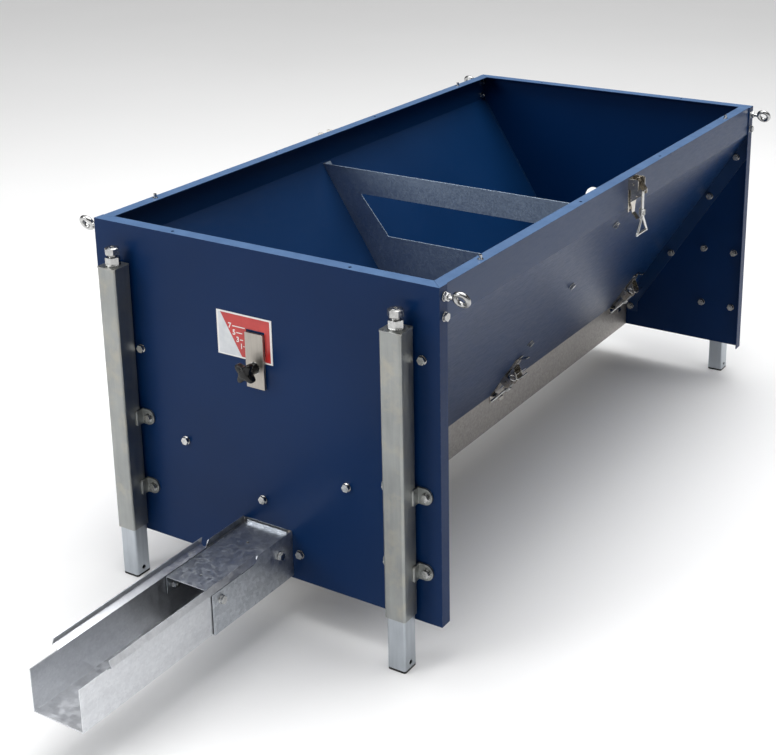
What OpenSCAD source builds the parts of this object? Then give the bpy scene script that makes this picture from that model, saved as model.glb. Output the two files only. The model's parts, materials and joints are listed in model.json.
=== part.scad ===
// Feed hopper for a chain-trough poultry feeding line.
// Painted sheet-metal shell, galvanised bottom trough and outlet, four adjustable legs.
// Millimetres, +Z up, +X right, front panel towards -Y, origin on the floor below the middle.

/* [Hopper shell] */
// Width over the end panels
hopper_width = 720; // [600:10:900]
// Length over the end panels
hopper_length = 1400; // [1200:10:1600]
// Height of the end panels
panel_height = 600; // [560:10:640]
// Height of the panels' lower edge above the floor
ground_clearance = 80; // [60:5:120]
// Thickness of the painted sheet
sheet = 2; // [1.5:0.5:3]
// Depth of the folded top flanges
top_flange = 25; // [18:1:32]
// Depth of the folded vertical edges of the end panels
side_return = 24; // [20:1:30]
// Height of the vertical band above the slopes
band_height = 62; // [50:1:80]
// Width of the outward end flanges on the side panels
end_flange = 30; // [24:1:34]

/* [Bottom trough and outlet] */
// Thickness of the galvanised sheet
zinc_sheet = 1.5; // [1:0.5:2]
// Outside width of the bottom trough
pan_width = 118; // [100:2:140]
// Height of the bottom trough
pan_height = 80; // [60:2:100]
// Outside width of the outlet trough
trough_width = 102; // [90:2:110]
// Height of the outlet trough's walls
trough_height = 75.5; // [60:0.5:90]
// Reach of the outlet trough in front of the front panel
trough_reach = 512; // [300:4:700]
// Length of the outlet adapter
adapter_length = 215; // [150:5:260]

/* [Divider] */
// Distance of the divider behind the front panel
divider_y = 686; // [600:2:780]
// Depth of the divider below the panels' top edge
divider_depth = 470; // [400:10:500]

/* [Level adjuster] */
// Sideways position of the level adjuster
level_x = -5; // [-10:1:10]
// Height of the knob's axis below the top edge
knob_drop = 210; // [190:1:230]
// Upward travel of the level bar from its shown setting
level_up = 4; // [0:1:8]
// Downward travel of the level bar from its shown setting
level_down = 31; // [20:1:40]

/* [Legs] */
// Distance of each leg's axis from the middle plane
leg_x = 296; // [280:1:310]
// Outside size of the outer leg tube
leg_outer = 40; // [40:5:50]
// Outside size of the inner leg tube
leg_inner = 35; // [30:5:45]
// Gap between the outer tube and the end panel
leg_gap = 6; // [4:1:10]
// Downward travel of each leg
leg_down = 100; // [50:10:120]
// Upward travel of each leg
leg_up = 40; // [20:5:60]

/* [Hidden] */
$fn = 40;
eps = 0.01;
fit = 0.3;                 // least gap between pieces that move past each other
run = 0.05;                // radial clearance of a turning pin

// shell positions
half_w = hopper_width / 2;
top_z = ground_clearance + panel_height;
leg_out = leg_gap + leg_outer;
cap_over = 0.75;           // overhang of the leg caps on each side
y_front = (trough_reach - hopper_length - leg_out - cap_over) / 2;
band_x = half_w - sheet;
crease_z = top_z - band_height;
pan_top = ground_clearance + pan_height;
slope_end = [pan_width / 2 + 5, pan_top + fit];
slope_len = norm([band_x - slope_end[0], crease_z - slope_end[1]]);
down = [(slope_end[0] - band_x) / slope_len, (slope_end[1] - crease_z) / slope_len];
out = [-down[1], down[0]];
tilt = atan2(down[0], down[1]) + 180;
skew = sheet / out[0];
run_in = -down[0] / -down[1];

// fasteners, M8
shank_r = 4;
hole_r = 4.3;
head_af = 13;
head_h = 5.3;
nut_h = 6.5;
washer_r = 8;
washer_h = 1.6;
spare = 1.5;
end_bolts = [[328, top_z - 126], [267, top_z - 231], [175, top_z - 390], [71.5, top_z - 548]];
flange_foot = 562;
corner_y = 14;
eye_drop = 18;
corner_bolt_drop = 51.5;
eye_r = 11.5;
eye_wire = 4.7;
eye_x = half_w + 31;
eye_turn = 25;
flange_hole_r = 3;
side_hole_y = [517, 883];
front_hole_x = [-186, 186];
hole_x = 348;
stud_y = [148, 1252];
port_r = 25;
port_pos = [-38, top_z - 279];

// divider
divider_edge_drop = 64;
divider_flange = 25;
divider_bolt_s = [40, 212, 383];
window_top = 118;
window_low = 204;
window_half = [257, 190];
window_r = 4;

// outlet, heights above the floor
trough_z = ground_clearance + 7;
wall_top = trough_z + trough_height;
adapter_half = 54;
adapter_z = ground_clearance + 5;
adapter_top = pan_top;
adapter_rise = 12;
lip_start = 455;
lip_end = 108;
cover_half = 47.5;
cover_front = 212;
cover_skirt = 32;
adapter_bolt_y = [193.5, 36];
adapter_bolt_z = top_z - 538;

// level adjuster
bar_w = 38;
bar_len = 100;
bar_t = 5;
bar_back = 1.3;
bar_top = top_z - 148;
knob_z = top_z - knob_drop;
stud_len = 34;
guide_z = top_z - 462;
gate_half = 47;
gate_t = 2;
gate_y = sheet + 0.5;
gate_low = top_z - 545;
label_t = 1;
slot_r = 5.2;

// legs
tube_wall = 2;
tube_low = top_z - 581;
cap_t = 3;
cap_top = top_z - 70;
cap_size = leg_outer + 2 * cap_over;
vent_r = 2.2;
vent_at = 14.8;
ear_t = 4;
ear_w = 29;
ear_bolt_x = 37.5;
ear_z = [top_z - 364, top_z - 503];
inner_top = 300;
nut_block = 8;
foot_h = 4;
foot_hole_z = 14;
foot_hole_r = 4.25;
screw_r = 8;
m16_af = 24;
screw_top = cap_top + 34;
screw_low = inner_top - nut_block - leg_down - 10;

// toggle latch, in its own frame: x out from the plate it sits on, z towards its catch
base_half = 17;
base_t = 1.5;
ear_out = 21;
latch_pin = [10, -12];
pin_r = 2.5;
bail_pin = [24, -28];
bail_pin_r = 2;
lever_half = 12.5;
finger_half = 6.5;
lever_t = 1.5;
lever_x = 4;
lid_latch_y = 722;
lid_base = [-70, -2];
low_latch_y = [700, 1300];
low_latch_s = 43.6;
low_base = [-72, 40];
lid_bail_len = 83;
lid_loop = 34;
low_bail_len = 74.3;
low_loop = 32;
bail_lean = 10.5;
loop_half = 22;
wire_r = 2.8;
clip_at = [17, -37];
clip_r = 1.4;
clip_ring = 7.5;
clip_reach = 34;

/* ---------- placing ---------- */
module at_front() { translate([0, y_front, 0]) children(); }
module at_rear() { translate([0, y_front + hopper_length, 0]) mirror([0, 1, 0]) children(); }
module at_level() { at_front() translate([level_x, 0, 0]) children(); }
module at_both_ends() { at_front() children(); at_rear() children(); }
module both_sides() { children(); mirror([1, 0, 0]) children(); }
// right-hand side of the slope: z out of the sheet at distance s below the crease
module on_slope(s, y) {
    translate([band_x + down[0] * s, y_front + y, crease_z + down[1] * s])
        rotate([0, 90 + tilt, 0]) children();
}
// a box from two corners
module block(a, b) { translate(a) cube(b - a); }
module tube_y(r, y0, y1, x, z) {
    translate([x, y0, z]) rotate([-90, 0, 0]) cylinder(r = r, h = y1 - y0);
}
module hex(af, h) { cylinder(r = af / 2 / cos(30), h = h, $fn = 6); }
// bolt with its washer: seat at z = 0, shank downwards
module hex_bolt(len) {
    cylinder(r = washer_r, h = washer_h);
    hex(head_af, washer_h + head_h);
    translate([0, 0, -len]) cylinder(r = shank_r, h = len + eps);
}
// nut with its washer, seat at z = 0
module hex_nut() {
    difference() {
        union() {
            cylinder(r = washer_r, h = washer_h);
            hex(head_af, washer_h + nut_h);
        }
        translate([0, 0, -1]) cylinder(r = shank_r + 0.05, h = washer_h + nut_h + 2);
    }
}
function grip_len(t) = t + washer_h + nut_h + spare;

/* ---------- shell ---------- */
module end_panel_shape() {
    block([-half_w, 0, ground_clearance], [half_w, sheet, top_z]);
    translate([0, 0, top_z - sheet]) linear_extrude(sheet)
        polygon([[-half_w, 0], [half_w, 0], [half_w - top_flange, top_flange],
            [top_flange - half_w, top_flange]]);
    both_sides() block([band_x, 0, ground_clearance], [half_w, side_return, top_z]);
}
module end_panel_holes() {
    both_sides() {
        for (p = end_bolts) tube_y(hole_r, -1, sheet + 1, p[0], p[1]);
        for (z = ear_z) for (dx = [-ear_bolt_x, ear_bolt_x])
            tube_y(hole_r, -1, sheet + 1, leg_x + dx, z);
        for (dz = [eye_drop, corner_bolt_drop])
            translate([band_x - 1, corner_y, top_z - dz])
                rotate([0, 90, 0]) cylinder(r = hole_r, h = sheet + 2);
    }
}
module front_end_panel() {
    color("#1f3f72") at_front() difference() {
        end_panel_shape();
        end_panel_holes();
        // outlet
        block([-adapter_half - fit, -1, adapter_z - fit],
            [adapter_half + fit, sheet + 1, adapter_top + adapter_rise + fit]);
        // slot for the level stud, and the guide bolt's hole
        translate([level_x, 0, 0]) {
            tube_y(slot_r, -1, sheet + 1, 0, knob_z + level_up);
            tube_y(slot_r, -1, sheet + 1, 0, knob_z - level_down);
            block([-slot_r, -1, knob_z - level_down], [slot_r, sheet + 1, knob_z + level_up]);
            tube_y(hole_r, -1, sheet + 1, 0, guide_z);
        }
        for (x = front_hole_x) translate([x, 11, top_z - sheet - 1])
            cylinder(r = flange_hole_r, h = sheet + 2);
    }
}
module rear_end_panel() {
    color("#1f3f72") at_rear() difference() {
        end_panel_shape();
        end_panel_holes();
        // way in for the returning chain
        block([-adapter_half + 4, -1, ground_clearance + 3],
            [adapter_half - 4, sheet + 1, pan_top - 4]);
        // round port
        tube_y(port_r, -1, sheet + 1, port_pos[0], port_pos[1]);
        for (x = front_hole_x) translate([x, 11, top_z - sheet - 1])
            cylinder(r = flange_hole_r, h = sheet + 2);
    }
}
// section through the right side panel
module side_section() {
    polygon([[half_w - top_flange, top_z], [band_x, top_z], [band_x, crease_z], slope_end,
        [slope_end[0] - skew, slope_end[1]],
        [band_x - sheet, crease_z + (skew - sheet) / run_in],
        [band_x - sheet, top_z - sheet], [half_w - top_flange, top_z - sheet]]);
}
// outward flange at each end of the right side panel
module end_flange_section() {
    far = [for (s = [0, slope_len]) [band_x, crease_z] + down * s + out * end_flange];
    edge_x = band_x - 3;
    cut = (far[0][0] - edge_x) / -down[0];
    polygon([[edge_x, crease_z + 0.2], [edge_x, far[0][1] + down[1] * cut], far[1],
        [far[1][0], top_z - flange_foot], [slope_end[0], top_z - flange_foot],
        slope_end, [slope_end[0] - 1, slope_end[1]], [edge_x - 3.6, crease_z + 0.2]]);
}
module side_panel() {
    body_len = hopper_length - 2 * sheet;
    difference() {
        union() {
            translate([0, y_front + sheet + body_len, 0]) rotate([90, 0, 0])
                linear_extrude(body_len) side_section();
            at_both_ends() translate([0, 2 * sheet, 0]) rotate([90, 0, 0])
                linear_extrude(sheet) end_flange_section();
        }
        // mitres of the top flange
        at_both_ends() translate([0, 0, top_z - sheet - 1]) linear_extrude(sheet + 2)
            polygon([[half_w + 1, -2], [half_w - top_flange - 1, -2],
                [half_w - top_flange - 1, top_flange + 1.6],
                [band_x, sheet + 0.6], [half_w + 1, sheet + 0.6]]);
        at_both_ends() {
            for (p = end_bolts) tube_y(hole_r, 0, 3 * sheet, p[0], p[1]);
            for (dz = [eye_drop, corner_bolt_drop])
                translate([band_x - sheet - 1, corner_y, top_z - dz])
                    rotate([0, 90, 0]) cylinder(r = hole_r, h = sheet + 2);
        }
        for (s = divider_bolt_s) on_slope(s, divider_y + divider_flange / 2)
            translate([0, 0, -5]) cylinder(r = hole_r, h = 7);
        for (y = side_hole_y) translate([hole_x, y_front + y, top_z - sheet - 1])
            cylinder(r = flange_hole_r, h = sheet + 2);
    }
}
module right_side_panel() { color("#2a4a7c") side_panel(); }
module left_side_panel() { color("#2a4a7c") mirror([1, 0, 0]) side_panel(); }

// half-width of the slope's inner face, less a small gap, at height z
function inner_x(z) = band_x - skew - (crease_z - z) * run_in - 0.1;
module divider_plate() {
    hi = top_z - divider_edge_drop;
    lo = top_z - divider_depth;
    w_hi = top_z - window_top;
    w_lo = top_z - window_low;
    c_lo = [window_half[1] - window_r, w_lo + window_r];
    color("#4c5157") translate([0, y_front + divider_y, 0]) difference() {
        union() {
            translate([0, sheet, 0]) rotate([90, 0, 0]) linear_extrude(sheet)
                polygon([[-inner_x(hi), hi], [inner_x(hi), hi],
                    [inner_x(lo), lo], [-inner_x(lo), lo]]);
            both_sides() translate([0, divider_flange, 0]) rotate([90, 0, 0])
                linear_extrude(divider_flange)
                polygon([[inner_x(hi), hi], [inner_x(lo), lo],
                    [inner_x(lo) - skew, lo], [inner_x(hi) - skew, hi]]);
        }
        // window, rounded at its lower corners
        translate([0, sheet + 1, 0]) rotate([90, 0, 0]) linear_extrude(sheet + 2) {
            polygon([[-window_half[0], w_hi], [window_half[0], w_hi],
                [c_lo[0] + window_r, c_lo[1]], [c_lo[0], w_lo], [-c_lo[0], w_lo],
                [-c_lo[0] - window_r, c_lo[1]]]);
            for (side = [-1, 1]) translate([side * c_lo[0], c_lo[1]]) circle(r = window_r);
        }
        both_sides() for (s = divider_bolt_s)
            translate([0, -y_front - divider_y, 0])
                on_slope(s, divider_y + divider_flange / 2)
                translate([0, 0, -8]) cylinder(r = hole_r, h = 10);
    }
}

/* ---------- bottom trough and outlet ---------- */
module bottom_trough() {
    half = pan_width / 2;
    color("#8d9094") translate([0, y_front + hopper_length - sheet - fit, 0])
        rotate([90, 0, 0]) linear_extrude(hopper_length - 2 * (sheet + fit))
        polygon([[-half - 4.5, pan_top], [-half + zinc_sheet, pan_top],
            [-half + zinc_sheet, ground_clearance + zinc_sheet],
            [half - zinc_sheet, ground_clearance + zinc_sheet],
            [half - zinc_sheet, pan_top], [half + 4.5, pan_top],
            [half + 4.5, pan_top - zinc_sheet], [half, pan_top - zinc_sheet],
            [half, ground_clearance], [-half, ground_clearance],
            [-half, pan_top - zinc_sheet], [-half - 4.5, pan_top - zinc_sheet]]);
}
module adapter_bolt_holes() {
    at_front() for (y = adapter_bolt_y) translate([-70, -y, adapter_bolt_z])
        rotate([0, 90, 0]) cylinder(r = hole_r, h = 140);
}
module outlet_adapter() {
    step_y = 105;
    color("#9a9da1") difference() {
        at_front() union() {
            block([-adapter_half, -adapter_length, adapter_z],
                [adapter_half, sheet - 0.1, adapter_z + zinc_sheet]);
            both_sides() translate([adapter_half, 0, 0]) rotate([0, -90, 0])
                linear_extrude(zinc_sheet)
                polygon([[adapter_z, -adapter_length], [adapter_top, -adapter_length],
                    [adapter_top, -step_y], [adapter_top + adapter_rise, 9 - step_y],
                    [adapter_top + adapter_rise, sheet - 0.1], [adapter_z, sheet - 0.1]]);
        }
        adapter_bolt_holes();
    }
}
module outlet_trough() {
    half = trough_width / 2;
    t = zinc_sheet;
    color("#a6a9ad") difference() {
        at_front() union() {
            block([-half, -trough_reach, trough_z], [half, -5, trough_z + t]);
            both_sides() {
                block([half - t, -trough_reach, trough_z], [half, -5, wall_top]);
                translate([0, -lip_end, 0]) rotate([90, 0, 0])
                    linear_extrude(lip_start - lip_end)
                    polygon([[half - t, wall_top - 2], [half - t, wall_top],
                        [half + 9, wall_top + 6.6], [half + 5.2, wall_top + 18.2],
                        [half + 6.7, wall_top + 18.7], [half + 10.8, wall_top + 6],
                        [half, wall_top - 1.2], [half, wall_top - 2]]);
            }
        }
        adapter_bolt_holes();
    }
}
module adapter_cover() {
    top = wall_top;
    t = zinc_sheet;
    color("#7f868f") difference() {
        at_front() union() {
            block([-cover_half, -cover_front, top - t], [cover_half, -0.5, top]);
            both_sides() block([cover_half - t, -cover_front, top - cover_skirt],
                [cover_half, -6, top]);
            block([-cover_half + 4, -0.5 - t, top - t], [cover_half - 4, -0.5, top + 5.5]);
        }
        adapter_bolt_holes();
        for (y = [180, 56]) translate([0, y_front - y, top - 5]) cylinder(r = 2.5, h = 10);
    }
}
module adapter_bolts() {
    color("#b9bcc0") both_sides() at_front() for (y = adapter_bolt_y)
        translate([adapter_half, -y, adapter_bolt_z]) rotate([0, 90, 0])
            hex_bolt(grip_len(adapter_half - cover_half + zinc_sheet));
}
module adapter_nuts() {
    color("#b9bcc0") both_sides() at_front() for (y = adapter_bolt_y)
        translate([cover_half - zinc_sheet, -y, adapter_bolt_z]) rotate([0, -90, 0]) hex_nut();
}

/* ---------- fasteners ---------- */
module panel_bolts() {
    color("#c3c6ca") {
        at_both_ends() both_sides() {
            for (p = end_bolts) translate([p[0], 0, p[1]]) rotate([90, 0, 0])
                hex_bolt(grip_len(2 * sheet));
            translate([half_w, corner_y, top_z - corner_bolt_drop]) rotate([0, 90, 0])
                hex_bolt(grip_len(2 * sheet));
        }
        both_sides() for (s = divider_bolt_s) on_slope(s, divider_y + divider_flange / 2)
            hex_bolt(grip_len(2 * sheet));
        // guide bolt of the level gate
        at_level() translate([0, 0, guide_z]) rotate([90, 0, 0])
            hex_bolt(grip_len(gate_y + gate_t + fit));
    }
}
module panel_nuts() {
    color("#c3c6ca") {
        at_both_ends() both_sides() {
            for (p = end_bolts) translate([p[0], 2 * sheet, p[1]]) rotate([-90, 0, 0])
                hex_nut();
            translate([band_x - sheet, corner_y, top_z - corner_bolt_drop])
                rotate([0, -90, 0]) hex_nut();
        }
        both_sides() for (s = divider_bolt_s) on_slope(s, divider_y + divider_flange / 2)
            translate([0, 0, -2 * sheet - 0.2]) mirror([0, 0, 1]) hex_nut();
        at_level() translate([0, gate_y + gate_t + fit, guide_z]) rotate([-90, 0, 0])
            hex_nut();
    }
}
// eye bolt with its ring turned about the shank
module eye_bolt(turn) {
    reach = eye_x - band_x + sheet + washer_h + nut_h + spare;
    translate([eye_x, corner_y, top_z - eye_drop]) {
        rotate([90 + turn, 0, 0]) rotate_extrude($fn = 64) translate([eye_r, 0])
            circle(r = eye_wire, $fn = 32);
        translate([-reach, 0, 0]) rotate([0, 90, 0])
            cylinder(r = shank_r - 0.1, h = reach - eye_r);
    }
}
module eye_bolts() {
    color("#c9ccd0") both_sides() {
        at_front() eye_bolt(eye_turn);
        at_rear() eye_bolt(-eye_turn);
    }
}
module eye_nuts() {
    color("#c9ccd0") at_both_ends() both_sides() {
        translate([half_w, corner_y, top_z - eye_drop]) rotate([0, 90, 0]) hex_nut();
        translate([band_x - sheet, corner_y, top_z - eye_drop]) rotate([0, -90, 0]) hex_nut();
    }
}
module lid_studs() {
    color("#b9bcc0") both_sides() for (y = stud_y) translate([hole_x, y_front + y, top_z]) {
        cylinder(r = 5, h = 1.5);
        cylinder(r = 3, h = 8);
    }
}

/* ---------- legs ---------- */
// leg places: side, end
module leg_place(side, rear) {
    x = side * leg_x;
    if (rear) at_rear() translate([x, -leg_out + leg_outer / 2, 0]) children();
    else at_front() translate([x, -leg_out + leg_outer / 2, 0]) children();
}
module all_legs() {
    for (side = [-1, 1]) for (rear = [false, true]) leg_place(side, rear) children();
}
// square with rounded corners, centred
module soft_square(size, r) {
    square([size, size - 2 * r], center = true);
    square([size - 2 * r, size], center = true);
    for (x = [-1, 1]) for (y = [-1, 1])
        translate([x * (size / 2 - r), y * (size / 2 - r)]) circle(r = r);
}
module square_tube(size, wall, z0, z1) {
    translate([0, 0, z0]) linear_extrude(z1 - z0) difference() {
        soft_square(size, 2 * wall);
        soft_square(size - 2 * wall, wall);
    }
}
module leg_tube() {
    color("#a9abaa") square_tube(leg_outer, tube_wall, tube_low, cap_top - cap_t);
}
module leg_tube_fl() { leg_place(-1, false) leg_tube(); }
module leg_tube_fr() { leg_place(1, false) leg_tube(); }
module leg_tube_rl() { leg_place(-1, true) leg_tube(); }
module leg_tube_rr() { leg_place(1, true) leg_tube(); }
module leg_caps() {
    color("#b4b6b5") all_legs() translate([0, 0, cap_top - cap_t]) difference() {
        linear_extrude(cap_t) soft_square(cap_size, 5);
        translate([0, 0, -1]) cylinder(r = screw_r + run, h = cap_t + 2);
        for (x = [-1, 1]) for (y = [-1, 1]) translate([x * vent_at, y * vent_at, -1])
            cylinder(r = vent_r, h = cap_t + 2);
    }
}
module leg_ear() {
    y_panel = leg_out - leg_outer / 2;
    edge = leg_outer / 2;
    difference() {
        union() {
            block([edge, y_panel - ear_t, -ear_w / 2], [ear_bolt_x - 3, y_panel, ear_w / 2]);
            tube_y(ear_w / 2, y_panel - ear_t, y_panel, ear_bolt_x - 3, 0);
            block([edge, y_panel - 18, -ear_w / 2], [edge + 3, y_panel, ear_w / 2]);
        }
        tube_y(hole_r, y_panel - ear_t - 1, y_panel + 1, ear_bolt_x, 0);
    }
}
module leg_brackets() {
    color("#b4b6b5") all_legs() both_sides() for (z = ear_z) translate([0, 0, z]) leg_ear();
}
module leg_bolts() {
    y_panel = leg_out - leg_outer / 2;
    color("#c3c6ca") all_legs() both_sides() for (z = ear_z)
        translate([ear_bolt_x, y_panel - ear_t, z]) rotate([90, 0, 0])
            hex_bolt(grip_len(ear_t + sheet));
}
module leg_nuts() {
    y_panel = leg_out - leg_outer / 2;
    color("#c3c6ca") all_legs() both_sides() for (z = ear_z)
        translate([ear_bolt_x, y_panel + sheet, z]) rotate([-90, 0, 0]) hex_nut();
}
module leg_inner_tube() {
    inside = leg_inner - 2 * tube_wall;
    color("#b9bbba") difference() {
        union() {
            square_tube(leg_inner, tube_wall, foot_h, inner_top);
            translate([-inside / 2 - eps, -inside / 2 - eps, inner_top - nut_block])
                cube([inside + 2 * eps, inside + 2 * eps, nut_block]);
        }
        translate([0, 0, inner_top - nut_block - 1])
            cylinder(r = screw_r + run, h = nut_block + 2);
        translate([-leg_inner, 0, foot_hole_z]) rotate([0, 90, 0])
            cylinder(r = foot_hole_r, h = 2 * leg_inner);
    }
}
module leg_foot() {
    inside = leg_inner - 2 * tube_wall - 0.2;
    color("#1c1c1e") {
        linear_extrude(foot_h) soft_square(leg_inner, 2 * tube_wall);
        linear_extrude(foot_h + 5) soft_square(inside, tube_wall);
    }
}
// screw with two nuts and a washer fixed on its upper end
module leg_screw() {
    color("#c0c0bd") difference() {
        union() {
            translate([0, 0, screw_low]) cylinder(r = screw_r, h = screw_top - screw_low);
            translate([0, 0, cap_top + 0.1]) {
                cylinder(r = 14, h = 2.5);
                hex(m16_af, 15.5);
                translate([0, 0, 21]) rotate([0, 0, 20]) hex(m16_af, 11);
                translate([0, 0, 31.9]) cylinder(r1 = 11.9, r2 = 10.5, h = 1.5);
            }
        }
        translate([0, 0, screw_top - 2]) cylinder(r = 3.5, h = 3);
    }
}
module leg_inner_fl() { leg_place(-1, false) leg_inner_tube(); }
module leg_inner_fr() { leg_place(1, false) leg_inner_tube(); }
module leg_inner_rl() { leg_place(-1, true) leg_inner_tube(); }
module leg_inner_rr() { leg_place(1, true) leg_inner_tube(); }
module leg_foot_fl() { leg_place(-1, false) leg_foot(); }
module leg_foot_fr() { leg_place(1, false) leg_foot(); }
module leg_foot_rl() { leg_place(-1, true) leg_foot(); }
module leg_foot_rr() { leg_place(1, true) leg_foot(); }
module leg_screw_fl() { leg_place(-1, false) leg_screw(); }
module leg_screw_fr() { leg_place(1, false) leg_screw(); }
module leg_screw_rl() { leg_place(-1, true) leg_screw(); }
module leg_screw_rr() { leg_place(1, true) leg_screw(); }

/* ---------- level adjuster ---------- */
module level_label() {
    color("#c0392b") at_level() difference() {
        block([-83, -label_t, top_z - 201], [35, 0, top_z - 120]);
        block([-19.5, -label_t - 1, top_z - 189], [19.5, 1, top_z - 144]);
    }
}
module level_bar() {
    color("#85827c") at_level() difference() {
        block([-bar_w / 2, -bar_back - bar_t, bar_top - bar_len], [bar_w / 2, -bar_back, bar_top]);
        tube_y(shank_r + 0.1, -20, 1, 0, knob_z);
    }
}
module level_gate() {
    neck = 20;
    color("#8d9094") at_level() difference() {
        union() {
            block([-gate_half, gate_y, gate_low], [gate_half, gate_y + gate_t, gate_low + 110]);
            block([-neck, gate_y, gate_low + 100], [neck, gate_y + gate_t, knob_z + 20]);
        }
        tube_y(shank_r + 0.1, 0, 10, 0, knob_z);
        tube_y(slot_r, 0, 10, 0, guide_z - level_up);
        tube_y(slot_r, 0, 10, 0, guide_z + level_down);
        block([-slot_r, 0, guide_z - level_up], [slot_r, 10, guide_z + level_down]);
    }
}
module level_stud() {
    front = bar_back + bar_t;
    color("#c3c6ca") at_level() translate([0, 0, knob_z]) {
        translate([0, gate_y + gate_t, 0]) {
            rotate([-90, 0, 0]) hex(head_af, head_h);
            rotate([90, 0, 0]) cylinder(r = shank_r, h = stud_len);
        }
        difference() {
            tube_y(11, -front - washer_h, -front, 0, 0);
            tube_y(shank_r + 0.1, -front - 5, 0, 0, 0);
        }
    }
}
module star_knob() {
    hub_back = bar_back + bar_t + washer_h + fit;
    head_back = 26;
    head_front = 39;
    arm = 16.5;
    lobe_r = 5.5;
    color("#18181a") at_level() translate([0, 0, knob_z]) difference() {
        rotate([90, 0, 0]) {
            translate([0, 0, hub_back]) cylinder(r = 10.5, h = head_back - hub_back + 1);
            translate([0, 0, head_back]) {
                cylinder(r = 12, h = head_front - head_back);
                for (turn = [0:3]) rotate([0, 0, 55 + 90 * turn]) {
                    translate([0, -lobe_r, 0]) cube([arm, 2 * lobe_r, head_front - head_back]);
                    translate([arm, 0, 0]) cylinder(r = lobe_r, h = head_front - head_back);
                }
            }
            translate([0, 0, head_front - 1]) cylinder(r1 = 10, r2 = 8, h = 3);
        }
        tube_y(shank_r + run, -31, 0, 0, 0);
    }
}

/* ---------- toggle latches ---------- */
// base plate from z0 to z1 with two ears
module latch_base(z0, z1) {
    difference() {
        union() {
            block([0, -base_half, z0], [base_t, base_half, z1]);
            for (side = [-1, 1]) {
                y0 = side > 0 ? base_half - base_t : -base_half;
                block([0, y0, -24], [ear_out, y0 + base_t, -6]);
                block([0, y0, -20], [ear_out - 4, y0 + base_t, -2]);
                tube_y(4, y0, y0 + base_t, ear_out - 4, -6);
            }
        }
        tube_y(pin_r + 0.1, -base_half - 1, base_half + 1, latch_pin[0], latch_pin[1]);
    }
    // two rivets
    for (side = [-1, 1]) translate([base_t - 0.1, side * 8, z0 + 8])
        rotate([0, 90, 0]) cylinder(r = 3, h = 1.4);
}
module latch_pin_shape() {
    tube_y(pin_r, -base_half - 1.5, base_half + 1.5, latch_pin[0], latch_pin[1]);
}
module latch_lever() {
    half = lever_half;
    x0 = lever_x;
    difference() {
        union() {
            // back plate, narrowing to the finger
            translate([x0, 0, 0]) rotate([90, 0, 90]) linear_extrude(lever_t)
                polygon([[-half, -7.5], [half, -7.5], [half, -50], [finger_half, -62],
                    [finger_half, -74], [-finger_half, -74], [-finger_half, -62], [-half, -50]]);
            translate([0, finger_half, 0]) rotate([90, 0, 0]) linear_extrude(2 * finger_half)
                polygon([[x0, -73], [x0 + lever_t, -73], [x0 + 7, -79],
                    [x0 + 12, -85], [x0 + 10.6, -86], [x0 + 5.4, -80]]);
            for (side = [-1, 1]) {
                y0 = side > 0 ? half : lever_t - half;
                translate([0, y0, 0]) rotate([90, 0, 0]) linear_extrude(lever_t)
                    polygon([[x0, -7.5], [7, -5.5], [12, -5.5], [28, -24], [28, -33],
                        [14, -44], [8, -48], [x0, -50]]);
            }
        }
        tube_y(pin_r + run, -half - 1, half + 1, latch_pin[0], latch_pin[1]);
        tube_y(bail_pin_r + run, -half - 1, half + 1, bail_pin[0], bail_pin[1]);
        tube_y(clip_r + 0.1, -half - 1, half + 1, clip_at[0], clip_at[1]);
    }
}
// spring clip through the lever: ring, straight leg and outer leg
module latch_clip() {
    y_ring = -lever_half - 3 - clip_ring;
    outer = [clip_at[0] + 10.5, clip_at[1]];
    tube_y(clip_r, y_ring + clip_ring - 0.5, clip_reach, clip_at[0], clip_at[1]);
    translate([clip_at[0], y_ring, clip_at[1]]) rotate_extrude($fn = 48)
        translate([clip_ring, 0]) circle(r = clip_r, $fn = 24);
    wire([clip_at[0] + 5.3, y_ring + 5.3, clip_at[1]], [outer[0], -lever_half, outer[1]], clip_r);
    translate([outer[0], -lever_half, outer[1]]) sphere(r = clip_r + 0.2, $fn = 24);
    wire([outer[0], -lever_half, outer[1]], [outer[0], clip_reach - 8, outer[1]], clip_r);
}
// one straight wire between two points
module wire(a, b, r) {
    d = b - a;
    translate(a) rotate([0, acos(d[2] / norm(d)), atan2(d[1], d[0])])
        cylinder(r = r, h = norm(d));
}
// bail with its pin at the origin, hanging along -z
module bail(len, loop) {
    apex = len - loop;
    reach = lever_half + 1;
    tube_y(bail_pin_r, -reach, reach, 0, 0);
    translate([0, 0, -apex - 1]) cylinder(r = 3, h = apex + 1);
    translate([0, 0, 1 - apex]) cylinder(r = 5.5, h = 12);
    translate([0, 0, -apex]) sphere(r = 4);
    for (side = [-1, 1]) {
        wire([0, side, -apex], [0, side * loop_half, -len], wire_r);
        translate([0, side * loop_half, -len]) sphere(r = wire_r + 0.5);
    }
    tube_y(wire_r, -loop_half, loop_half, 0, -len);
}
module lid_latch_frame() { translate([band_x, y_front + lid_latch_y, top_z]) children(); }
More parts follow.
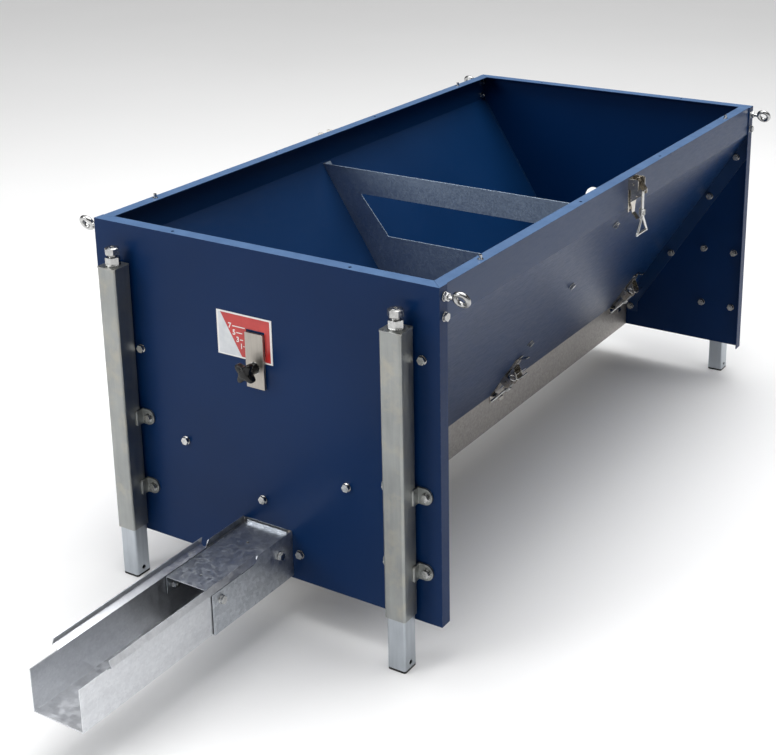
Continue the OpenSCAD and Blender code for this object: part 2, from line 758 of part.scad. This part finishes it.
// latch near the slope's lower edge, its z pointing down the slope to the catch
module low_latch_frame(y) {
    s = slope_len - low_latch_s;
    translate([band_x + down[0] * s, y_front + y, crease_z + down[1] * s])
        rotate([0, tilt, 0]) mirror([0, 0, 1]) children();
}
module latch_bases() {
    color("#c9ccd0") both_sides() {
        lid_latch_frame() latch_base(lid_base[0], lid_base[1]);
        for (y = low_latch_y) low_latch_frame(y) latch_base(low_base[0], low_base[1]);
    }
}
module latch_pins() {
    color("#c9ccd0") both_sides() {
        lid_latch_frame() latch_pin_shape();
        for (y = low_latch_y) low_latch_frame(y) latch_pin_shape();
    }
}
module lid_lever_right() { color("#d0d2d4") lid_latch_frame() latch_lever(); }
module lid_lever_left() { color("#d0d2d4") mirror([1, 0, 0]) lid_latch_frame() latch_lever(); }
module lid_bail_right() {
    color("#d9dadb") lid_latch_frame() translate([bail_pin[0], 0, bail_pin[1]])
        bail(lid_bail_len, lid_loop);
}
module lid_bail_left() {
    color("#d9dadb") mirror([1, 0, 0]) lid_latch_frame()
        translate([bail_pin[0], 0, bail_pin[1]]) bail(lid_bail_len, lid_loop);
}
module trough_lever(y) { color("#d0d2d4") low_latch_frame(y) latch_lever(); }
module trough_bail(y) {
    color("#d9dadb") low_latch_frame(y) translate([bail_pin[0], 0, bail_pin[1]])
        rotate([0, 180 - bail_lean, 0]) bail(low_bail_len, low_loop);
}
module trough_clip(y) { color("#d9dadb") low_latch_frame(y) latch_clip(); }
module trough_clip_rm() { trough_clip(low_latch_y[0]); }
module trough_clip_rr() { trough_clip(low_latch_y[1]); }
module trough_clip_lm() { mirror([1, 0, 0]) trough_clip(low_latch_y[0]); }
module trough_clip_lr() { mirror([1, 0, 0]) trough_clip(low_latch_y[1]); }
module trough_lever_rm() { trough_lever(low_latch_y[0]); }
module trough_lever_rr() { trough_lever(low_latch_y[1]); }
module trough_lever_lm() { mirror([1, 0, 0]) trough_lever(low_latch_y[0]); }
module trough_lever_lr() { mirror([1, 0, 0]) trough_lever(low_latch_y[1]); }
module trough_bail_rm() { trough_bail(low_latch_y[0]); }
module trough_bail_rr() { trough_bail(low_latch_y[1]); }
module trough_bail_lm() { mirror([1, 0, 0]) trough_bail(low_latch_y[0]); }
module trough_bail_lr() { mirror([1, 0, 0]) trough_bail(low_latch_y[1]); }
// hooks on the bottom trough's edge, open downwards
module trough_catches() {
    half = 9;
    edge = pan_width / 2;
    color("#b9b39f") both_sides() for (y = low_latch_y) translate([0, y_front + y, 0]) {
        block([edge, -half, pan_top - 20], [edge + 2, half, pan_top - zinc_sheet]);
        block([edge, -half, pan_top - 3.5], [edge + 25, half, pan_top - zinc_sheet]);
        block([edge + 23, -half, pan_top - 10], [edge + 25, half, pan_top - zinc_sheet]);
    }
}

front_end_panel();
rear_end_panel();
left_side_panel();
right_side_panel();
divider_plate();
bottom_trough();
outlet_adapter();
adapter_cover();
outlet_trough();
adapter_bolts();
adapter_nuts();
leg_tube_fl();
leg_tube_fr();
leg_tube_rl();
leg_tube_rr();
leg_caps();
leg_brackets();
leg_bolts();
leg_nuts();
panel_bolts();
panel_nuts();
eye_bolts();
eye_nuts();
lid_studs();
level_label();
latch_bases();
latch_pins();
trough_catches();
leg_inner_fl();
leg_inner_fr();
leg_inner_rl();
leg_inner_rr();
leg_foot_fl();
leg_foot_fr();
leg_foot_rl();
leg_foot_rr();
leg_screw_fl();
leg_screw_fr();
leg_screw_rl();
leg_screw_rr();
level_bar();
level_gate();
level_stud();
star_knob();
lid_lever_left();
lid_lever_right();
lid_bail_left();
lid_bail_right();
trough_lever_lm();
trough_lever_lr();
trough_lever_rm();
trough_lever_rr();
trough_bail_lm();
trough_bail_lr();
trough_bail_rm();
trough_bail_rr();
trough_clip_lm();
trough_clip_lr();
trough_clip_rm();
trough_clip_rr();
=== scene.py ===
import json
import math
import random

import bpy
from mathutils import Matrix, Vector


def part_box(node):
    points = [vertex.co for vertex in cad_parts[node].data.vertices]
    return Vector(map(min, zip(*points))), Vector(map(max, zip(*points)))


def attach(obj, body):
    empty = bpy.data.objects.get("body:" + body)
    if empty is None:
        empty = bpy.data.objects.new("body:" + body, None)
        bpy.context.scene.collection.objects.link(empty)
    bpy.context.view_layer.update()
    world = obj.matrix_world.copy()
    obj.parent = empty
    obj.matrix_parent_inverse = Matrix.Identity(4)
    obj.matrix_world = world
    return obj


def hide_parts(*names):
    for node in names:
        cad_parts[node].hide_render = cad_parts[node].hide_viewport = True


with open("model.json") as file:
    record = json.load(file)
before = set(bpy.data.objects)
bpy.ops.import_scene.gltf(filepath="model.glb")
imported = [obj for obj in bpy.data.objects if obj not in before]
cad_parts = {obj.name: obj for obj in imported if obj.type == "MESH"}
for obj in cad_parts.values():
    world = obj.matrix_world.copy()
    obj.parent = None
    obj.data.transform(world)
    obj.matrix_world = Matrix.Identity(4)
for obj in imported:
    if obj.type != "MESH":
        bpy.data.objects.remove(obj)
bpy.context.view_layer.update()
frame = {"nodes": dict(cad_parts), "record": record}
nodes = frame["nodes"]
rng = random.Random(7)


# ---------------------------------------------------------------- materials
class Graph:
    """A material's node tree, with short calls for its usual parts."""

    def __init__(self, name, metallic=0.0, **sockets):
        self.mat = bpy.data.materials.new(name)
        self.mat.use_nodes = True
        self.tree = self.mat.node_tree
        self.shader = self.tree.nodes["Principled BSDF"]
        self.shader.inputs["Metallic"].default_value = metallic
        for key, value in sockets.items():
            self.shader.inputs[key.replace("_", " ")].default_value = value
        self.coords = self.add("ShaderNodeTexCoord").outputs["Object"]

    def add(self, kind, **props):
        node = self.tree.nodes.new(kind)
        for key, value in props.items():
            setattr(node, key, value)
        return node

    def join(self, value, socket):
        if isinstance(value, bpy.types.NodeSocket):
            self.tree.links.new(value, socket)
        else:
            socket.default_value = value

    def space(self, scale):
        node = self.add("ShaderNodeMapping")
        self.join(self.coords, node.inputs["Vector"])
        node.inputs["Scale"].default_value = scale
        return node.outputs["Vector"]

    def noise(self, scale, detail=3.0, rough=0.55, space=None, warp=0.0):
        node = self.add("ShaderNodeTexNoise")
        self.join(space or self.coords, node.inputs["Vector"])
        node.inputs["Scale"].default_value = scale
        node.inputs["Detail"].default_value = detail
        node.inputs["Roughness"].default_value = rough
        node.inputs["Distortion"].default_value = warp
        return node.outputs["Fac"]

    def cells(self, scale):
        node = self.add("ShaderNodeTexVoronoi")
        self.join(self.coords, node.inputs["Vector"])
        node.inputs["Scale"].default_value = scale
        split = self.add("ShaderNodeSeparateColor")
        self.join(node.outputs["Color"], split.inputs["Color"])
        return split.outputs

    def fit(self, value, lo, hi, to_lo, to_hi):
        node = self.add("ShaderNodeMapRange")
        self.join(value, node.inputs["Value"])
        ends = (("From Min", lo), ("From Max", hi), ("To Min", to_lo), ("To Max", to_hi))
        for key, number in ends:
            node.inputs[key].default_value = number
        return node.outputs["Result"]

    def math(self, how, a, b=0.0):
        node = self.add("ShaderNodeMath", operation=how)
        self.join(a, node.inputs[0])
        self.join(b, node.inputs[1])
        return node.outputs["Value"]

    def mix(self, fac, a, b):
        node = self.add("ShaderNodeMix", data_type="RGBA")
        self.join(fac, node.inputs["Factor"])
        self.join(a, node.inputs["A"])
        self.join(b, node.inputs["B"])
        return node.outputs["Result"]

    def xyz(self, socket=None):
        node = self.add("ShaderNodeSeparateXYZ")
        self.join(socket or self.coords, node.inputs["Vector"])
        return node.outputs

    def rounded(self, radius):
        node = self.add("ShaderNodeBevel", samples=4)
        node.inputs["Radius"].default_value = radius
        return node.outputs["Normal"]

    def edges(self, radius, soft=0.35):
        """About 1 on sharp edges and 0 on flat faces."""
        dot = self.add("ShaderNodeVectorMath", operation="DOT_PRODUCT")
        self.join(self.rounded(radius), dot.inputs[0])
        self.join(self.add("ShaderNodeNewGeometry").outputs["Normal"], dot.inputs[1])
        return self.fit(dot.outputs["Value"], 1.0, 1.0 - soft, 0.0, 1.0)

    def bump(self, height, strength, distance, normal=None):
        node = self.add("ShaderNodeBump")
        self.join(height, node.inputs["Height"])
        node.inputs["Strength"].default_value = strength
        node.inputs["Distance"].default_value = distance
        if normal is not None:
            self.join(normal, node.inputs["Normal"])
        return node.outputs["Normal"]

    def finish(self, colour, roughness, normal):
        self.join(colour, self.shader.inputs["Base Color"])
        self.join(roughness, self.shader.inputs["Roughness"])
        self.join(normal, self.shader.inputs["Normal"])
        return self.mat


def rgb(r, g, b):
    """sRGB 0-255 to linear."""
    def lin(c):
        c = c / 255
        return c / 12.92 if c <= 0.04045 else ((c + 0.055) / 1.055) ** 2.4
    return (lin(r), lin(g), lin(b), 1.0)


# painted reflection: a lighter blue painted onto upward faces in place of the sky's glancing
# reflection on them
UPWARD_REFLECTION_TINT = rgb(84, 112, 150)


def powder_coat(name, base, light, worn, rough, shine):
    """Satin powder coat with worn edges. Its lighter upward faces stand in for glancing reflection."""
    g = Graph(name, Specular_IOR_Level=shine, Coat_Weight=0.05, Coat_Roughness=0.25)
    cloud = g.fit(g.noise(3.5, 2.0), 0.3, 0.7, 0.0, 1.0)
    speck = g.fit(g.noise(900.0, 1.0), 0.35, 0.65, 0.0, 0.12)
    colour = g.mix(g.math("ADD", g.math("MULTIPLY", cloud, 0.55), speck), base, light)
    upward = g.xyz(g.add("ShaderNodeNewGeometry").outputs["Normal"])["Z"]
    level = g.fit(upward, 0.75, 0.95, 0.0, 1.0)
    patchy = g.fit(g.noise(26.0, 4.0), 0.3, 0.7, 0.75, 1.0)
    colour = g.mix(g.math("MULTIPLY", level, patchy), colour, UPWARD_REFLECTION_TINT)
    chips = g.fit(g.noise(160.0, 4.0, 0.7), 0.52, 0.60, 0.0, 1.0)
    wear = g.math("MULTIPLY", g.edges(0.0012), chips)
    colour = g.mix(g.math("MULTIPLY", wear, 0.55), colour, worn)
    scuff = g.fit(g.noise(40.0, 5.0, 0.7, g.space((1.0, 1.0, 6.0)), 0.6), 0.35, 0.75, -0.05, 0.09)
    roughness = g.math("ADD", scuff, rough)
    peel = g.bump(g.noise(420.0, 2.0), 0.22, 0.0004, g.rounded(0.0011))
    return g.finish(colour, roughness, peel)


def zinc_sheet(name, dark, light, cell, rough, spread, streak=0.25, flake=0.3):
    """Galvanised sheet: spangle cells, faint run lines, stains and rubbed edges."""
    g = Graph(name, metallic=1.0)
    big = g.cells(cell)
    small = g.cells(cell * 2.7)
    tone = g.math("ADD", g.math("MULTIPLY", big["Red"], spread),
                  g.math("MULTIPLY", small["Green"], 0.25))
    stain = g.fit(g.noise(5.0, 4.0, 0.6), 0.3, 0.7, 0.0, 1.0)
    lines = g.fit(g.noise(30.0, 3.0, 0.6, g.space((0.5, 0.12, 1.6))), 0.35, 0.65, 0.0, streak)
    tone = g.math("ADD", tone, g.math("MULTIPLY", stain, 0.2))
    colour = g.mix(g.math("ADD", tone, lines), dark, light)
    wear = g.math("MULTIPLY", g.edges(0.0009), g.fit(g.noise(120.0), 0.4, 0.6, 0.2, 0.9))
    colour = g.mix(g.math("MULTIPLY", wear, 0.5), colour, (0.85, 0.86, 0.87, 1.0))
    roughness = g.math("ADD", g.fit(big["Blue"], 0.0, 1.0, -0.06, 0.08), rough)
    roughness = g.math("ADD", roughness, g.fit(stain, 0.0, 1.0, -0.03, 0.05))
    skin = g.bump(g.math("ADD", g.noise(260.0, 3.0), g.math("MULTIPLY", big["Green"], flake)),
                  0.10 + 0.2 * flake, 0.0004, g.rounded(0.0008))
    return g.finish(colour, roughness, skin)


def plated(name, dark, light, rough, grain=(1.0, 1.0, 1.0), scale=60.0, tint=None):
    """Zinc, nickel or bare steel, with grain stretched along an axis."""
    g = Graph(name, metallic=1.0)
    streak = g.fit(g.noise(scale, 4.0, 0.65, g.space(grain)), 0.3, 0.7, 0.0, 1.0)
    cloud = g.fit(g.noise(14.0, 3.0), 0.3, 0.7, 0.0, 1.0)
    tone = g.math("ADD", g.math("MULTIPLY", streak, 0.55), g.math("MULTIPLY", cloud, 0.4))
    colour = g.mix(tone, dark, light)
    if tint is not None:
        patch = g.fit(g.noise(34.0, 4.0, 0.6), 0.5, 0.7, 0.0, 0.5)
        colour = g.mix(patch, colour, tint)
    wear = g.math("MULTIPLY", g.edges(0.0007), g.fit(g.noise(200.0), 0.4, 0.6, 0.1, 0.8))
    colour = g.mix(g.math("MULTIPLY", wear, 0.6), colour, (0.9, 0.9, 0.89, 1.0))
    roughness = g.math("ADD", g.fit(streak, 0.0, 1.0, -0.06, 0.08), rough)
    skin = g.bump(g.noise(500.0, 2.0, 0.5, g.space(grain)), 0.12, 0.0002, g.rounded(0.0006))
    return g.finish(colour, roughness, skin)


def black_plastic(name):
    """Moulded black plastic with greyed edges."""
    g = Graph(name, Specular_IOR_Level=0.3)
    cloud = g.fit(g.noise(40.0, 3.0), 0.3, 0.7, 0.0, 1.0)
    colour = g.mix(cloud, (0.003, 0.003, 0.003, 1.0), (0.008, 0.008, 0.009, 1.0))
    wear = g.math("MULTIPLY", g.edges(0.0008), g.fit(g.noise(150.0), 0.45, 0.62, 0.0, 0.8))
    colour = g.mix(g.math("MULTIPLY", wear, 0.4), colour, (0.08, 0.08, 0.085, 1.0))
    roughness = g.fit(g.noise(90.0, 3.0), 0.3, 0.7, 0.16, 0.3)
    return g.finish(colour, roughness, g.bump(g.noise(900.0, 2.0), 0.2, 0.0002, g.rounded(0.0009)))


def label_film(name, box):
    """Red film with a white border, a pale corner below a diagonal, and a fine print grain."""
    lo, hi = box
    g = Graph(name, Coat_Weight=0.3, Coat_Roughness=0.15)
    spot = g.xyz()
    u = g.fit(spot["X"], lo.x, hi.x, 0.0, 1.0)
    v = g.fit(spot["Z"], lo.z, hi.z, 0.0, 1.0)
    edge = g.math("MINIMUM", g.math("MINIMUM", u, g.math("SUBTRACT", 1.0, u)),
                  g.math("MINIMUM", v, g.math("SUBTRACT", 1.0, v)))
    border = g.fit(edge, 0.033, 0.036, 1.0, 0.0)
    corner = g.fit(g.math("ADD", g.math("MULTIPLY", u, 2.53), v), 1.14, 1.155, 1.0, 0.0)
    fade = g.fit(g.noise(35.0, 3.0), 0.3, 0.7, 0.0, 1.0)
    red = g.mix(fade, rgb(176, 30, 28), rgb(198, 44, 38))
    pale = g.mix(fade, rgb(196, 200, 205), rgb(222, 224, 226))
    colour = g.mix(border, g.mix(corner, red, pale), rgb(232, 232, 230))
    rub = g.math("MULTIPLY", g.edges(0.0015), g.fit(g.noise(90.0), 0.45, 0.65, 0.0, 0.7))
    colour = g.mix(rub, colour, rgb(205, 200, 196))
    roughness = g.fit(g.noise(60.0, 3.0), 0.3, 0.7, 0.28, 0.42)
    return g.finish(colour, roughness, g.bump(g.noise(300.0), 0.08, 0.0002, g.rounded(0.0005)))


def enamel(name, low, high, rough):
    """Printed ink, tinted by the red film at its edges."""
    g = Graph(name)
    colour = g.mix(g.fit(g.noise(180.0, 3.0), 0.3, 0.7, 0.0, 1.0), low, high)
    worn = g.math("MULTIPLY", g.edges(0.0004), 0.3)
    colour = g.mix(worn, colour, rgb(205, 160, 154))
    return g.finish(colour, g.fit(g.noise(90.0), 0.3, 0.7, rough, rough + 0.1),
                    g.bump(g.noise(700.0), 0.08, 0.0001))


def studio(name, low, high, rough):
    """Plain pale paint for the floor."""
    g = Graph(name)
    colour = g.mix(g.fit(g.noise(0.6, 2.0), 0.3, 0.7, 0.0, 1.0), low, high)
    return g.finish(colour, g.fit(g.noise(8.0), 0.3, 0.7, rough, rough + 0.08),
                    g.bump(g.noise(60.0), 0.04, 0.001))


WORN_BLUE = rgb(104, 132, 160)
looks = {
    "blue_end_panels": powder_coat(
        "blue_end", rgb(0, 35, 76), rgb(2, 42, 88), WORN_BLUE, 0.38, 0.12),
    # painted reflection: the side panels carry the same paint as the end panels, made slightly lighter
    # to stand in for the pale floor reflected in them
    "blue_side_panels": powder_coat(
        "blue_side", rgb(6, 42, 82), rgb(12, 50, 94), WORN_BLUE, 0.34, 0.32),
    "dark_divider": zinc_sheet(
        "divider", rgb(150, 168, 190), rgb(176, 192, 210), 320.0, 0.5, 0.4),
    "galvanised_trough": zinc_sheet(
        "trough", rgb(158, 154, 150), rgb(190, 186, 182), 220.0, 0.50, 0.4, 0.05),
    "galvanised_outlet": zinc_sheet(
        "outlet", rgb(196, 198, 202), rgb(230, 232, 235), 90.0, 0.36, 0.10, 0.25, 0.1),
    "spangled_cover": zinc_sheet(
        "cover", rgb(158, 163, 170), rgb(202, 206, 211), 150.0, 0.36, 0.5, 0.1, 1.0),
    "leg_zinc": plated(
        "leg_zinc", rgb(136, 139, 138), rgb(168, 170, 168), 0.40, (1.0, 1.0, 0.1), 70.0,
        rgb(176, 170, 156)),
    "inner_leg_zinc": plated(
        "inner_leg_zinc", rgb(160, 166, 172), rgb(196, 202, 208), 0.36, (1.0, 1.0, 0.06), 90.0),
    "zinc_fasteners": plated(
        "fastener_zinc", rgb(140, 141, 142), rgb(214, 214, 212), 0.20, scale=220.0),
    "latch_plating": plated(
        "latch_nickel", rgb(176, 171, 163), rgb(230, 226, 218), 0.2, tint=rgb(180, 168, 146)),
    "bail_wire": plated(
        "bail_wire", rgb(186, 186, 184), rgb(236, 236, 234), 0.18, scale=120.0),
    "bar_steel": plated(
        "bar_steel", rgb(150, 145, 138), rgb(184, 178, 170), 0.42, (8.0, 1.0, 0.4), 60.0),
    "label_print": label_film("label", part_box("level_label")),
    "black_plastic": black_plastic("black_plastic"),
}
print_white = enamel("print_white", rgb(226, 226, 224), rgb(240, 240, 238), 0.35)
for part in frame["record"]["subparts"]:
    obj = nodes[part["node"]]
    obj.data.materials.clear()
    obj.data.materials.append(looks[part["material_slot"]])


# ------------------------------------------------------------ extra pieces
def mesh_piece(name, verts, faces, slot, body, smooth=True):
    mesh = bpy.data.meshes.new(name)
    mesh.from_pydata([tuple(v) for v in verts], [], faces)
    mesh.update()
    obj = bpy.data.objects.new(name, mesh)
    bpy.context.scene.collection.objects.link(obj)
    if smooth:
        mesh.shade_smooth()
    mesh.materials.append(looks[slot])
    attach(obj, body)
    return obj


def sweep(path, radius, sides=8, closed=False):
    """Vertices and faces of a round tube along a list of points."""
    verts, faces = [], []
    count = len(path)
    side = None
    for i, p in enumerate(path):
        ahead = path[(i + 1) % count] if closed or i + 1 < count else p
        back = path[i - 1] if closed or i > 0 else p
        way = (ahead - back).normalized()
        if side is None:
            side = way.orthogonal().normalized()
        side = (side - way * side.dot(way)).normalized()
        other = way.cross(side)
        for k in range(sides):
            a = 2 * math.pi * k / sides
            verts.append(p + (side * math.cos(a) + other * math.sin(a)) * radius)
    for i in range(count if closed else count - 1):
        j = (i + 1) % count
        for k in range(sides):
            m = (k + 1) % sides
            faces.append((i * sides + k, i * sides + m, j * sides + m, j * sides + k))
    if not closed:
        faces.append(tuple(reversed(range(sides))))
        faces.append(tuple(range((count - 1) * sides, count * sides)))
    return verts, faces


def helix(start, way, radius, pitch, length, steps=14):
    """Points of a coil that starts at a point and runs along a direction."""
    way = way.normalized()
    side = way.orthogonal().normalized()
    other = way.cross(side)
    count = int(length / pitch * steps)
    out = []
    for i in range(count + 1):
        a = 2 * math.pi * i / steps
        spoke = (side * math.cos(a) + other * math.sin(a)) * radius
        out.append(start + way * (pitch * i / steps) + spoke)
    return out


FRONT_Y = -0.467375
TOP_Z = 0.68


def at(x, y, z):
    """A point given in millimetres from the front panel's face and the top edge."""
    return Vector((x / 1000, FRONT_Y + y / 1000, TOP_Z + z / 1000))


# the knob's outline: four lobes on a round core, turned off the vertical
KNOB_CORE, KNOB_LOBE, LOBE_POWER, LOBE_TURN = 12.2, 9.6, 1.4, math.radians(55)
# (depth from the panel, lobe share, round radius, scale), in millimetres
KNOB_RINGS = [(8.4, 0.0, 9.4, 1.0), (9.2, 0.0, 10.0, 1.0), (22.0, 0.0, 9.2, 1.0),
              (26.0, 0.55, 11.0, 0.84), (26.6, 0.9, 11.5, 0.93), (28.0, 1.0, 12.0, 0.99),
              (31.0, 1.0, 12.0, 1.0), (35.5, 1.0, 12.0, 1.0), (37.4, 1.0, 12.0, 0.97),
              (38.6, 1.0, 12.0, 0.90), (39.2, 1.0, 12.0, 0.78), (39.5, 0.8, 11.0, 0.60),
              (39.9, 0.3, 8.5, 0.5), (40.6, 0.0, 7.2, 1.0), (40.9, 0.0, 5.6, 1.0)]


def knob_mesh(centre):
    """Soft four-lobed knob, lofted through its rings."""
    rings = KNOB_RINGS
    steps = 96
    verts, faces = [], []
    for depth, share, plain, scale in rings:
        for k in range(steps):
            a = 2 * math.pi * k / steps
            lobe = KNOB_CORE + KNOB_LOBE * ((1 + math.cos(4 * (a - LOBE_TURN))) / 2) ** LOBE_POWER
            r = (share * lobe * scale + (1 - share) * plain) / 1000
            verts.append(Vector((centre.x + r * math.cos(a), FRONT_Y - depth / 1000,
                                 centre.z + r * math.sin(a))))
    for i in range(len(rings) - 1):
        for k in range(steps):
            m = (k + 1) % steps
            faces.append((i * steps + k, i * steps + m, (i + 1) * steps + m, (i + 1) * steps + k))
    faces.append(tuple(reversed(range(steps))))
    faces.append(tuple(range((len(rings) - 1) * steps, len(rings) * steps)))
    return verts, faces


def plate_mesh(x0, x1, y0, y1, z0, z1):
    """A thin printed mark, in the front panel's millimetres."""
    verts = [at(x, y, z) for x in (x0, x1) for y in (y0, y1) for z in (z0, z1)]
    return verts, [(0, 1, 3, 2), (4, 6, 7, 5), (0, 4, 5, 1), (2, 3, 7, 6), (0, 2, 6, 4), (1, 5, 7, 3)]


def joined(parts):
    """Several meshes as one list of vertices and faces."""
    verts, faces = [], []
    for v, f in parts:
        base = len(verts)
        verts += list(v)
        faces += [tuple(i + base for i in face) for face in f]
    return verts, faces


# knob
KNOB_AT = at(-5, 0, -210)
knob_piece = mesh_piece("knob_grip", *knob_mesh(KNOB_AT), "black_plastic", "knob")
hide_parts("star_knob")

# numbers and their dashes on the level label
# (digit, its middle in x, height, dash from, dash to)
MARKS = [("7", -59.8, -144.5, -54.0, -27.0), ("5", -50.9, -155.5, -46.0, -33.0),
         ("3", -43.5, -167.5, -38.5, -32.0), ("1", -36.0, -178.6, -32.0, -29.6)]
DIGIT_SIZE, DIGIT_DROP, DASH_HALF = 0.0135, 4.8, 0.8
for digit, x, z, _, _ in MARKS:
    data = bpy.data.curves.new("mark_" + digit, "FONT")
    data.body = digit
    data.size = DIGIT_SIZE
    data.align_x = "CENTER"
    data.extrude = 0.0001
    data.offset = 0.0003
    obj = bpy.data.objects.new("mark_" + digit, data)
    bpy.context.scene.collection.objects.link(obj)
    obj.location = at(x, -1.1, z - DIGIT_DROP)
    obj.rotation_euler = (math.pi / 2, 0.0, 0.0)
    data.materials.append(print_white)
    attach(obj, "shell")
dashes = [plate_mesh(x0, x1, -1.2, -0.9, z - DASH_HALF, z + DASH_HALF)
          for _, _, z, x0, x1 in MARKS]
dash_piece = mesh_piece("mark_dashes", *joined(dashes), "label_print", "shell", smooth=False)
dash_piece.data.materials[0] = print_white

# spring coils on the bails: radius, pitch, length and wire radius
COIL = (0.0055, 0.0024, 0.0125)
COIL_WIRE = 0.0011
LID_COIL_DROP, TROUGH_COIL_OUT = 0.0355, 0.0288
LID_PIN = (382, 722, -28)
TROUGH_PIN_X, TROUGH_PIN_Z = 122.889, -472.428
TROUGH_LATCH_Y = ((700, "m"), (1300, "r"))
SLOPE, NORMAL = Vector((-0.5404, 0, -0.8414)), Vector((0.8414, 0, -0.5404))
LEAN = math.radians(10.5)
low_way = SLOPE * math.cos(LEAN) - NORMAL * math.sin(LEAN)


def mirrored(v, side):
    return Vector((v.x * side, v.y, v.z))


for side, tag in ((1, "right"), (-1, "left")):
    pin = at(LID_PIN[0] * side, *LID_PIN[1:])
    path = helix(pin + Vector((0, 0, -LID_COIL_DROP)), Vector((0, 0, -1)), *COIL)
    mesh_piece("lid_coil_" + tag, *sweep(path, COIL_WIRE), "bail_wire", "lid_bail_" + tag)
    for y, code in TROUGH_LATCH_Y:
        pin = at(TROUGH_PIN_X * side, y, TROUGH_PIN_Z)
        way = mirrored(low_way, side)
        path = helix(pin + way * TROUGH_COIL_OUT, way, *COIL)
        name = tag[0] + code
        mesh_piece("trough_coil_" + name, *sweep(path, COIL_WIRE), "bail_wire", "trough_bail_" + name)

# threads on the leg screws, between their nuts
LEG_X, FRONT_LEG_Y, REAR_LEG_Y = 296, -26, 1426
for side, sx in (("l", -1), ("r", 1)):
    for end, y in (("f", FRONT_LEG_Y), ("r", REAR_LEG_Y)):
        path = helix(at(LEG_X * sx, y, -54.8), Vector((0, 0, 1)), 0.0079, 0.002, 0.0068, 20)
        leg = end + side
        mesh_piece("leg_thread_" + leg, *sweep(path, 0.0008), "zinc_fasteners", "screw_" + leg)

# weld beads between the legs and their ears, a little uneven
EAR_Z = (-364, -503)
BEAD_HALF, BEAD_OUT, BEAD_BACK, BEAD_STEPS, BEAD_JITTER = 13.2, 20.8, 7.6, 14, 0.3
beads = []
for sx in (-1, 1):
    for y, way in ((FRONT_LEG_Y, 1), (REAR_LEG_Y, -1)):
        for side in (-1, 1):
            for z in EAR_Z:
                line = []
                for i in range(BEAD_STEPS + 1):
                    x_out = BEAD_OUT + rng.uniform(-BEAD_JITTER, BEAD_JITTER)
                    y_back = BEAD_BACK + rng.uniform(-BEAD_JITTER, BEAD_JITTER)
                    line.append(at(LEG_X * sx + side * x_out, y + way * y_back,
                                   z - BEAD_HALF + 2 * BEAD_HALF * i / BEAD_STEPS))
                beads.append(sweep(line, 0.0017, 8))
mesh_piece("weld_beads", *joined(beads), "leg_zinc", "shell")

# ------------------------------------------------------------------- stage
FLOOR_HALF = 14.0
floor_mesh = bpy.data.meshes.new("floor")
floor_mesh.from_pydata([(-FLOOR_HALF, -FLOOR_HALF, 0), (FLOOR_HALF, -FLOOR_HALF, 0),
                        (FLOOR_HALF, FLOOR_HALF, 0), (-FLOOR_HALF, FLOOR_HALF, 0)], [], [(0, 1, 2, 3)])
floor = bpy.data.objects.new("floor", floor_mesh)
bpy.context.scene.collection.objects.link(floor)
floor_mesh.materials.append(studio("floor_pale", (0.90, 0.90, 0.90, 1), (0.93, 0.93, 0.93, 1), 0.7))

world = bpy.data.worlds.new("studio")
world.use_nodes = True
tree = world.node_tree
# the sky is weaker towards +X, which darkens the right-hand faces
sky_at = tree.nodes.new("ShaderNodeTexCoord")
sky_xyz = tree.nodes.new("ShaderNodeSeparateXYZ")
sky_fade = tree.nodes.new("ShaderNodeMapRange")
tree.links.new(sky_at.outputs["Generated"], sky_xyz.inputs["Vector"])
tree.links.new(sky_xyz.outputs["X"], sky_fade.inputs["Value"])
SKY_FADE = (("From Min", -0.5), ("From Max", 0.8), ("To Min", 1.7), ("To Max", 0.9))
for key, number in SKY_FADE:
    sky_fade.inputs[key].default_value = number
tree.links.new(sky_fade.outputs["Result"], tree.nodes["Background"].inputs["Strength"])
bpy.context.scene.world = world
bpy.context.scene.view_settings.view_transform = "Standard"


def area_light(name, place, target, size, power):
    data = bpy.data.lights.new(name, "AREA")
    data.shape = "RECTANGLE"
    data.size, data.size_y = size
    data.energy = power
    obj = bpy.data.objects.new(name, data)
    bpy.context.scene.collection.objects.link(obj)
    obj.location = place
    obj.rotation_mode = "QUATERNION"
    obj.rotation_quaternion = (Vector(target) - Vector(place)).to_track_quat("-Z", "Y")


sun = bpy.data.lights.new("sky_sun", "SUN")
sun.energy = 1.6
sun.angle = math.radians(100)
sun_obj = bpy.data.objects.new("sky_sun", sun)
bpy.context.scene.collection.objects.link(sun_obj)
area_light("key", (-2.6, -4.2, 2.6), (0, 0, 0.4), (2.6, 2.2), 95.0)
area_light("top", (0.2, 0.6, 4.0), (0, 0.2, 0.3), (3.0, 4.0), 150.0)
area_light("side", (4.2, 0.6, 1.8), (0, 0.2, 0.3), (3.0, 2.0), 8.0)

# ------------------------------------------------------------------ camera
CAM_AT = Vector((1.455, -2.256, 1.458))
CAM_AZ, CAM_EL, CAM_ROLL = math.radians(31.4), math.radians(17.37), math.radians(-0.49)
back = Vector((math.sin(CAM_AZ) * math.cos(CAM_EL),
               -math.cos(CAM_AZ) * math.cos(CAM_EL),
               math.sin(CAM_EL)))
right = Vector((math.cos(CAM_AZ), math.sin(CAM_AZ), 0.0))
up = back.cross(right)
turn = Matrix.Rotation(CAM_ROLL, 3, back)
right, up = turn @ right, turn @ up
data = bpy.data.cameras.new("camera")
data.sensor_width = 36.0
data.lens = 67.555
data.shift_x = -0.0677
data.shift_y = -0.2130
camera = bpy.data.objects.new("camera", data)
bpy.context.scene.collection.objects.link(camera)
camera.rotation_mode = "QUATERNION"
camera.location = CAM_AT
camera.rotation_quaternion = Matrix((right, up, back)).transposed().to_quaternion()
bpy.context.scene.camera = camera
